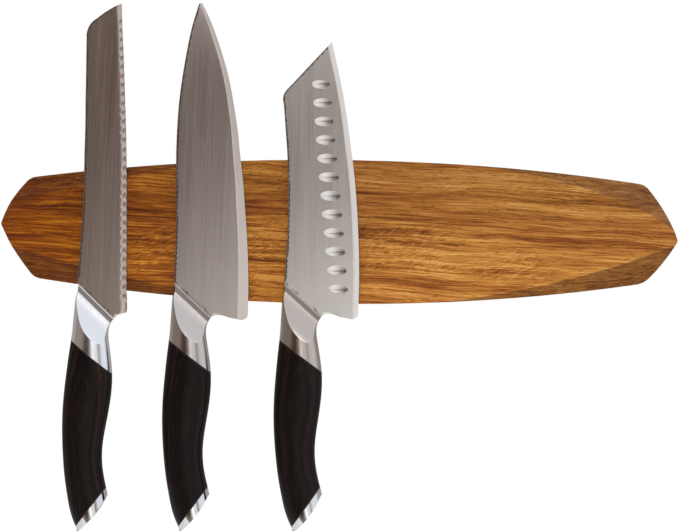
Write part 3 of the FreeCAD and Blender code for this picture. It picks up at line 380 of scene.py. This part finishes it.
# ---------------------------------------------------------------- blades, in knife coordinates (millimetres)
STATIONS = {
    "chef": [(-28.0, -0.40, 48.20, 1.30, 0.56, 6.6), (-12.0, -0.10, 48.00, 1.27, 0.56, 6.5), (4.0, 0.10, 47.60, 1.24, 0.55, 6.3),
             (20.0, 0.05, 46.70, 1.20, 0.53, 6.0), (36.0, -0.05, 45.30, 1.16, 0.51, 5.6), (52.0, -0.60, 43.60, 1.12, 0.50, 5.2),
             (68.0, -1.10, 41.85, 1.08, 0.49, 4.8), (84.0, -1.55, 39.55, 1.04, 0.48, 4.4), (100.0, -1.50, 37.35, 0.99, 0.47, 4.0),
             (116.0, -0.85, 34.35, 0.94, 0.45, 3.6), (132.0, 0.65, 30.85, 0.88, 0.43, 3.3), (148.0, 2.80, 25.90, 0.80, 0.40, 3.0),
             (164.0, 5.55, 19.85, 0.64, 0.33, 2.6), (172.4, 7.62, 16.10, 0.52, 0.28, 2.0), (180.4, 9.90, 11.90, 0.36, 0.22, 0.9)],
    "bread": [(-28.0, -0.90, 33.60, 1.15, 0.95, 5.0), (-12.0, -0.80, 32.60, 1.15, 0.95, 5.0), (4.0, -0.30, 31.25, 1.15, 0.94, 5.0),
              (20.0, 0.30, 30.50, 1.14, 0.92, 5.0), (36.0, 0.55, 29.60, 1.13, 0.90, 5.0), (52.0, 0.55, 28.60, 1.12, 0.88, 5.0),
              (68.0, 0.10, 27.60, 1.10, 0.86, 5.0), (84.0, -0.55, 26.45, 1.08, 0.84, 5.0), (100.0, -1.05, 25.25, 1.06, 0.82, 5.0),
              (116.0, -1.85, 23.80, 1.04, 0.80, 5.0), (132.0, -2.50, 22.35, 1.02, 0.78, 5.0), (148.0, -3.25, 20.80, 1.00, 0.76, 5.0),
              (164.0, -3.95, 19.05, 0.97, 0.74, 5.0), (184.0, -4.60, 17.20, 0.94, 0.72, 5.0)],
    "santoku": [(-28.0, -0.50, 48.20, 1.16, 0.50, 3.7), (-12.5, -0.30, 48.25, 1.15, 0.50, 3.7), (3.0, 0.45, 48.30, 1.15, 0.50, 3.7),
                (18.5, 1.20, 47.85, 1.14, 0.50, 3.6), (34.0, 1.85, 47.05, 1.13, 0.49, 3.6), (49.5, 1.75, 45.90, 1.12, 0.49, 3.5),
                (65.0, 1.25, 44.40, 1.10, 0.48, 3.5), (80.5, 0.60, 42.35, 1.08, 0.48, 3.4), (96.0, -0.75, 40.00, 1.06, 0.47, 3.3),
                (111.5, -2.20, 37.50, 1.04, 0.46, 3.2), (127.0, -3.60, 34.40, 1.02, 0.45, 3.1), (142.5, -4.80, 30.80, 1.00, 0.43, 3.0),
                (158.0, -6.00, 26.90, 0.96, 0.40, 2.8)]}
EDGE_HALF = 0.12
HEEL = {"chef": [(29.8, -19.55), (36.0, -21.0), (43.8, -22.3), (48.4, -17.8), (8.0, 18.0, 4.6)],
        "santoku": [(29.5, -18.95), (36.0, -20.9), (43.8, -22.3), (48.5, -17.8), (8.0, 16.0, 4.7)],
        "bread": [(27.2, -18.6), (29.6, -17.7), (31.6, -17.1), (33.0, -14.9), (9.0, 30.0, 2.0)]}
BAND_END = 32.3
TANG = [(3.0, None), (3.0, -22.0), (6.2, -40.0), (6.2, -118.0), (14.2, -118.0), (14.2, -40.0), (19.0, -29.0), (19.0, None)]


def spline(xs, ys):
    """Natural cubic spline through the points, as a function of an array."""
    xs, ys = np.asarray(xs, float), np.asarray(ys, float)
    n = len(xs)
    h = np.diff(xs)
    A = np.zeros((n, n))
    r = np.zeros(n)
    A[0, 0] = A[-1, -1] = 1.0
    for i in range(1, n - 1):
        A[i, i - 1], A[i, i], A[i, i + 1] = h[i - 1], 2 * (h[i - 1] + h[i]), h[i]
        r[i] = 6 * ((ys[i + 1] - ys[i]) / h[i] - (ys[i] - ys[i - 1]) / h[i - 1])
    m = np.linalg.solve(A, r)

    def f(x):
        x = np.clip(np.asarray(x, float), xs[0], xs[-1])
        i = np.clip(np.searchsorted(xs, x) - 1, 0, n - 2)
        a, b = xs[i + 1] - x, x - xs[i]
        return (m[i] * a ** 3 + m[i + 1] * b ** 3) / (6 * h[i]) + (ys[i] / h[i] - m[i] * h[i] / 6) * a + (ys[i + 1] / h[i] - m[i + 1] * h[i] / 6) * b
    return f


def arc(a, b, r, step=0.35):
    """Points from a to b along an arc; a positive radius bulges to the left of travel. Leaves out b."""
    a, b = np.array(a, float), np.array(b, float)
    d = b - a
    ln = np.hypot(*d)
    left = np.array([-d[1], d[0]]) / ln
    s = 1.0 if r > 0 else -1.0
    r = abs(r)
    c = (a + b) / 2 - left * s * math.sqrt(max(r * r - ln * ln / 4, 0.0))
    t0, t1 = math.atan2(*(a - c)[::-1]), math.atan2(*(b - c)[::-1])
    if s > 0 and t1 > t0:
        t1 -= 2 * math.pi
    if s < 0 and t1 < t0:
        t1 += 2 * math.pi
    n = max(2, int(abs(t1 - t0) * r / step))
    return [(c[0] + r * math.cos(t0 + (t1 - t0) * i / n), c[1] + r * math.sin(t0 + (t1 - t0) * i / n)) for i in range(n)]


def run(a, b, step=0.8):
    """Points from a to b along a straight line. Leaves out b."""
    n = max(1, int(math.hypot(b[0] - a[0], b[1] - a[1]) / step))
    return [(a[0] + (b[0] - a[0]) * i / n, a[1] + (b[1] - a[1]) * i / n) for i in range(n)]


SER_ROWS = [((18.65, 168.1), 5.2, -13.5, 0.5), ((31.85, -7.0), 3.45, -0.5, 16.5)]
SER_PITCH, SER_RAD, SER_ANGLE = 5.84, 11.0, math.radians(25.0)


def scallop_bite(z):
    """For heights z (array): x of the wavy grind line at the blade's middle plane, or a large number where it isn't ground."""
    z = np.asarray(z, float)
    out = np.full(z.shape, 1e3)
    for (x0, z0), lean, lo, hi in SER_ROWS:
        ca, sa = math.cos(math.radians(lean)), math.sin(math.radians(lean))
        s = (z - z0) / ca
        ok = (s >= lo * SER_PITCH) & (s <= hi * SER_PITCH)
        ph = (s / SER_PITCH - lo) % 1.0
        t = (ph - 0.5) * SER_PITCH
        sag = np.sqrt(SER_RAD ** 2 - t ** 2) - math.sqrt(SER_RAD ** 2 - SER_PITCH ** 2 / 4)
        x = x0 - s * sa - sag / math.sin(SER_ANGLE)
        out = np.where(ok, np.minimum(out, x), out)
    return out


DIMPLES = [(35.2 - math.sin(math.radians(6.12)) * 12.02 * i, -3.1 + math.cos(math.radians(6.12)) * 12.02 * i) for i in range(12)]


def make_blade(k):
    st = np.array(STATIONS[k])
    z_, L, R, HS, HB, W = (st[:, i] for i in range(6))
    fl, fr, fs, fb, fw_ = (spline(z_, v) for v in (L, R, HS, HB, W))
    cot = 1.0 / math.tan(SER_ANGLE)

    def half(x, z):
        """Half thickness of the ground blade without scallops and dimples."""
        l, r, s, b, w = fl(z), fr(z), fs(z), fb(z), fw_(z)
        u = np.clip((x - l) / np.maximum(r - w - l, 0.1), 0, 1)
        body_h = s + (b - s) * u
        v = np.clip((x - (r - w)) / np.maximum(w, 0.1), 0, 1)
        # the edge bevel starts with a small crisp shoulder and then runs flat to the edge
        lip = 1 - (1 - np.clip(v * w / 0.35, 0, 1)) ** 2
        bev = b + (EDGE_HALF - b) * (0.10 * lip + 0.90 * v)
        if k == "bread":
            bev = b + (EDGE_HALF - b) * v ** 3
        return np.where(x > r - w, bev, body_h)

    # ---- outline, clockwise from the spine at the band, up the spine and down the edge
    ca, sa = math.cos(BAND), math.sin(BAND)
    zs0 = 0.0
    for _ in range(8):
        zs0 = -float(fl(zs0)) * math.tan(BAND)
    pts = []

    def up_to(zt):
        for z in np.arange(zs0, zt - 0.3, 0.8):
            pts.append((float(fl(z)), float(z)))

    def edge_x(z):
        x = fr(z)
        if k == "bread":
            wv = scallop_bite(z)
            h = half(np.minimum(wv, x), np.asarray(z, float))
            x = np.minimum(x, wv + h * cot)
        return x
    if k == "chef":
        up_to(180.4)
        pts += run((9.90, 180.4), (11.90, 180.4), 0.3)
        ztop = 180.4
    elif k == "bread":
        up_to(157.5)
        pts += arc((-3.66, 157.5), (2.4, 170.7), 13.0) + arc((2.4, 170.7), (16.9, 180.9), 55.0)
        zt = 180.9
        pts += run((16.9, zt), (float(fr(zt)), zt), 0.3)
        ztop = zt
    else:
        up_to(115.6)
        pts += arc((-2.7, 115.6), (-0.2, 124.9), 9.0)
        zt = 154.3
        for _ in range(10):
            zt = 124.9 + (float(fr(zt)) + 0.2) * (154.3 - 124.9) / 26.4
        pts += run((-0.2, 124.9), (float(fr(zt)), zt), 0.6)
        ztop = zt
    h1, h2, h3, h4, (r1, r2, r4) = HEEL[k]
    step = 0.22 if k == "bread" else 0.8
    # the heel line is level at h4, so the edge starts there
    for z in np.arange(ztop, h4[1] + step * 0.4, -step):
        pts.append((float(edge_x(z)), float(z)))
    if k != "bread":
        pts.append((float(fr(h4[1])), h4[1]))
    back = arc((ca * BAND_END, -sa * BAND_END), h1, r1) + arc(h1, h2, r2) + run(h2, h3) + arc(h3, h4, -r4)
    xe = pts[-1][0]
    back = [p for p in back if p[0] < xe - 0.15]
    pts += back[::-1]
    tang_pts = [(x, -x * math.tan(BAND)) if z is None else (x, z) for x, z in TANG][::-1]
    pts += run(back[0], tang_pts[0])[1:]
    for a, b in zip(tang_pts, tang_pts[1:]):
        pts += run(a, b, 2.0)
    pts += run(tang_pts[-1], (float(fl(zs0)), zs0))
    clean = []
    for p in pts:
        if not clean or math.hypot(p[0] - clean[-1][0], p[1] - clean[-1][1]) > 0.05:
            clean.append(p)
    O = np.array(clean)
    n = len(O)
    nxt = np.roll(O, -1, 0)

    def dist(P):
        """Distance of points to the outline."""
        best = np.full(len(P), 1e9)
        d = nxt - O
        dd = (d ** 2).sum(1)
        for i0 in range(0, len(P), 4000):
            q_ = P[i0:i0 + 4000]
            t_ = np.clip(((q_[:, None, :] - O[None]) * d[None]).sum(2) / dd[None], 0, 1)
            c_ = O[None] + t_[..., None] * d[None]
            best[i0:i0 + 4000] = np.sqrt(((q_[:, None, :] - c_) ** 2).sum(2)).min(1)
        return best

    # ---- points inside: a grid, rows beside the bevel line, fine points at dimples and scallops
    P = []
    gx, gz = np.meshgrid(np.arange(-8, 52, 1.5), np.arange(-30, 186, 1.7))
    gx = gx + (np.arange(gx.shape[0])[:, None] % 2) * 0.75
    P.append(np.c_[gx.ravel(), gz.ravel()])
    zz = np.arange(-24, ztop - 0.5, 0.8)
    for off in ((-0.25, 0.0, 0.12, 0.35, 0.8) if k != "bread" else (0.0,)):
        P.append(np.c_[fr(zz) - fw_(zz) + off, zz])
    if k == "santoku":
        for dx0, dz0 in DIMPLES:
            ax, az = np.meshgrid(np.arange(-7.0, 7.01, 0.36), np.arange(-3.6, 3.61, 0.30))
            P.append(np.c_[dx0 + ax.ravel(), dz0 + az.ravel()])
    if k == "bread":
        az = np.arange(-12, 172.5, 0.27)
        for off in np.arange(0.25, 3.2, 0.27):
            P.append(np.c_[edge_x(az) - off, az])
    # inset rows that round the spine and heel arrises
    tan_ = np.roll(O, -1, 0) - np.roll(O, 1, 0)
    tan_ /= np.maximum(np.hypot(tan_[:, 0], tan_[:, 1])[:, None], 1e-9)
    nin = np.c_[tan_[:, 1], -tan_[:, 0]]
    for d_ in (0.09, 0.26):
        q_ = O + nin * d_
        P.append(q_[dist(q_) > d_ * 0.93])
    P = np.concatenate(P)
    # keep points inside the outline
    inside = np.zeros(len(P), bool)
    px, pz = P[:, 0], P[:, 1]
    for a, b in zip(O, nxt):
        cr = (a[1] > pz) != (b[1] > pz)
        with np.errstate(divide="ignore", invalid="ignore"):
            xx = (b[0] - a[0]) * (pz - a[1]) / (b[1] - a[1]) + a[0]
        inside ^= cr & (px < xx)
    P = P[inside]
    dP = dist(P)
    P = P[dP > 0.07]
    # thin out points that nearly coincide, keeping the later, finer ones
    key = np.round(P / 0.12).astype(int)
    _, idx = np.unique(key[::-1], axis=0, return_index=True)
    P = P[::-1][np.sort(idx)]
    allp = [Vector((float(x), float(z))) for x, z in np.concatenate([O, P])]
    from mathutils.geometry import delaunay_2d_cdt
    V2, E2, F2, _, _, _ = delaunay_2d_cdt(allp, [(i, (i + 1) % n) for i in range(n)], [list(range(n))], 1, 1e-5)
    XZ = np.array([(v.x, v.y) for v in V2])
    F2 = [f for f in F2 if len(f) >= 3]
    x, z = XZ[:, 0], XZ[:, 1]
    d = dist(XZ)
    h = half(x, z)
    front, rear = -h.copy(), h.copy()
    below = z < -x * math.tan(BAND) - 0.02
    tang_zone = below & (x > 2.9) & (x < 19.1)
    # eased arrises except along the cutting edge
    sharp = x > fr(z) - fw_(z) - 0.01
    if k == "bread":
        sharp = (x > fr(z) - 3.6) & (z > -16)
    ease = np.where(sharp | tang_zone, 0.0, 0.20 * (1 - np.clip(d / 0.26, 0, 1)) ** 2)
    front += ease
    rear -= ease
    if k == "bread":
        wv = scallop_bite(z)
        g = np.where(wv < 900, (x - wv) / cot, -1e3)
        front = np.clip(np.maximum(front, g), None, rear - 0.004)
    if k == "santoku":
        for dx0, dz0 in DIMPLES:
            u = x - dx0
            w_ = z - dz0
            yd = 0.32 + u ** 2 / (2 * 54.5) + w_ ** 2 / (2 * 11.9) - math.tan(math.radians(0.84)) * u
            near = (np.abs(u) < 8) & (np.abs(w_) < 4)
            rear = np.where(near, np.minimum(rear, yd), rear)
            front = np.where(near, np.maximum(front, -yd), front)
    front = np.where(tang_zone, -0.85, front)
    rear = np.where(tang_zone, 0.85, rear)
    # ---- mesh: front sheet, rear sheet and the rim between them
    nv = len(XZ)
    co = np.concatenate([np.c_[x, front, z], np.c_[x, rear, z]]) * 0.001
    cnt = {}
    for f in F2:
        for a, b in zip(f, f[1:] + f[:1]):
            cnt[(a, b)] = 1
    faces = []
    area2 = sum(XZ[f[0]][0] * (XZ[f[1]][1] - XZ[f[2]][1]) + XZ[f[1]][0] * (XZ[f[2]][1] - XZ[f[0]][1]) + XZ[f[2]][0] * (XZ[f[0]][1] - XZ[f[1]][1]) for f in F2[:50])
    ccw = area2 > 0   # counter-clockwise in (x, z) looks towards -Y
    for f in F2:
        f = list(f)
        faces.append(f if ccw else f[::-1])
        g = [i + nv for i in f]
        faces.append(g[::-1] if ccw else g)
    rim = [(a, b) for (a, b) in cnt if (b, a) not in cnt]
    for a, b in rim:
        q4 = [b, a, a + nv, b + nv]
        faces.append(q4 if ccw else q4[::-1])
    me = bpy.data.meshes.new(k + "_blade_ground")
    me.from_pydata(co.tolist(), [], faces)
    me.transform(knife_matrix(k))
    me.update()
    for p in me.polygons:
        p.use_smooth = True
    me.set_sharp_from_angle(angle=math.radians(40))
    o = bpy.data.objects.new(k + "_blade_ground", me)
    scene.collection.objects.link(o)
    me.materials.append(mats[k + "_blade"])
    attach(o, k + "_knife")
    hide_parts(k + "_blade")
    return o


for k in KNIVES:
    make_blade(k)

# ---------------------------------------------------------------- camera
cam = bpy.data.cameras.new("camera")
cam.sensor_width = 36.0
DIST = 1.40
WIDE = 679 * 0.000643
cam.lens = 36.0 * DIST / WIDE
cam_ob = bpy.data.objects.new("camera", cam)
scene.collection.objects.link(cam_ob)
roll = math.radians(0.42)
cx, cz = (339.5 - 339.3) * 0.000643, -(265.5 - 232.0) * 0.000643
cam_ob.location = (cx * math.cos(roll) - cz * math.sin(roll) * -1.0, -0.021 - DIST, cz)
cam_ob.rotation_euler = (math.radians(90), 0, 0)
cam_ob.rotation_mode = "XYZ"
cam_ob.matrix_world = Matrix.Translation(cam_ob.location) @ Matrix.Rotation(math.radians(0.42), 4, "Y").inverted() @ Matrix.Rotation(math.radians(90), 4, "X")
cam.clip_end = 20
scene.camera = cam_ob

# ---------------------------------------------------------------- stage: a pale floor well below the hanging rail
me = bpy.data.meshes.new("floor")
fz, fw = -0.46, 1.1
bm = bmesh.new()
vs = [bm.verts.new((x, y, fz)) for x, y in ((-fw, -0.9), (fw, -0.9), (fw, 0.75), (-fw, 0.75))]
bm.faces.new(vs)
bm.to_mesh(me)
bm.free()
floor = bpy.data.objects.new("floor", me)
scene.collection.objects.link(floor)
fm = bpy.data.materials.new("floor_paint")
t = Tree(fm)
t.shader(Base_Color=t.ramp(t.noise(t.mapping(t.coords(), (40, 40, 40)), 1.0, 3.0), [(0.3, (0.80, 0.80, 0.79)), (0.7, (0.84, 0.84, 0.83))]), Roughness=0.85)
me.materials.append(fm)

# ---------------------------------------------------------------- light
world = bpy.data.worlds.new("studio")
scene.world = world
w = Tree(world)
tc = w.add("ShaderNodeTexCoord").outputs["Generated"]
dx, dy, dz = w.split(tc)
# the room as the steel sees it: a dim warm side high on the left, a pale wall low on the right, a window up on the right
q = w.math("SUBTRACT", dz, w.math("MULTIPLY", w.math("ADD", dx, 0.05), 0.6))
across = w.range(dx, -0.16, 0.15, 0.0, 1.0, True)
bright = w.mix(across, (0.34, 0.300, 0.270), (1.65, 1.66, 1.70))
bright = w.mix(w.range(dx, 0.16, 0.22, 0.0, 1.0, True), bright, (1.0, 1.0, 1.02))
dim = w.mix(across, (0.056, 0.028, 0.014), (0.20, 0.130, 0.085))
lit = w.range(q, 0.038, -0.032, 0.0, 1.0, True)
lit = w.math("MAXIMUM", lit, w.math("MULTIPLY", w.range(q, 0.085, 0.15, 0.0, 1.0, True), w.range(dx, -0.09, -0.01, 0.0, 1.0, True)))
lit = w.math("MAXIMUM", lit, w.range(dx, 0.07, 0.13, 0.0, 1.0, True))
wall = w.mix(lit, dim, bright)
far_left = w.range(dx, -0.30, -0.62, 0.0, 1.0, True)
wall = w.mix(far_left, wall, (0.34, 0.285, 0.25))
far_right = w.range(dx, 0.42, 0.55, 0.0, 1.0, True)
wall = w.mix(far_right, wall, (0.20, 0.165, 0.145))
edge_right = w.range(dx, 0.69, 0.75, 0.0, 1.0, True)
wall = w.mix(edge_right, wall, (1.10, 1.10, 1.12))
win = w.range(w.math("ADD", w.math("MULTIPLY", dx, 0.55), w.math("MULTIPLY", dz, 0.84)), 0.36, 0.50, 0.0, 1.0, True)
wall = w.mix(win, wall, (0.98, 1.03, 1.12))
low = w.range(dz, -0.35, -0.60, 0.0, 1.0, True)
front = w.mix(low, wall, (0.50, 0.48, 0.46))
rear = w.ramp(w.range(dz, -1.0, 1.0), [(0.0, (0.35, 0.35, 0.35)), (0.5, (0.45, 0.45, 0.45)), (1.0, (0.7, 0.7, 0.7))])
up = w.mix(w.range(dy, -0.30, 0.15, 0.0, 1.0, True), front, rear)
cam_ray = w.add("ShaderNodeLightPath").outputs["Is Camera Ray"]
bg = w.add("ShaderNodeBackground")
w.link(up, bg.inputs[0])
bg.inputs[1].default_value = 0.85
white = w.add("ShaderNodeBackground")
white.inputs[0].default_value = (1, 1, 1, 1)
white.inputs[1].default_value = 1.0
mx = w.add("ShaderNodeMixShader")
w.link(cam_ray, mx.inputs[0])
w.link(bg.outputs[0], mx.inputs[1])
w.link(white.outputs[0], mx.inputs[2])
out = w.add("ShaderNodeOutputWorld")
w.link(mx.outputs[0], out.inputs[0])


def area(name, at, to, size, power, colour=(1, 1, 1), shine=True):
    l = bpy.data.lights.new(name, "AREA")
    l.shape = "RECTANGLE"
    l.size, l.size_y = size
    l.energy = power
    l.color = colour
    o = bpy.data.objects.new(name, l)
    scene.collection.objects.link(o)
    o.location = at
    o.rotation_euler = (Vector(to) - Vector(at)).to_track_quat("-Z", "Y").to_euler()
    o.visible_camera = False
    o.visible_glossy = shine
    return o


area("key_front", (-0.30, -1.45, 0.80), (0.0, 0.0, 0.0), (0.9, 0.6), 17.0, (1.0, 0.985, 0.96), False)
area("top_right", (0.75, -0.30, 0.85), (0.12, 0.0, 0.0), (0.5, 0.4), 2.2, (1.0, 0.98, 0.95))
area("back_fill", (0.0, 1.3, 0.8), (0.0, 0, 0), (1.4, 0.8), 6.0, (1, 1, 1), False)

scene.view_settings.view_transform = "Standard"
scene.view_settings.look = "None"
scene.view_settings.exposure = 0.0
scene.view_settings.gamma = 1.0

bpy.context.view_layer.update()
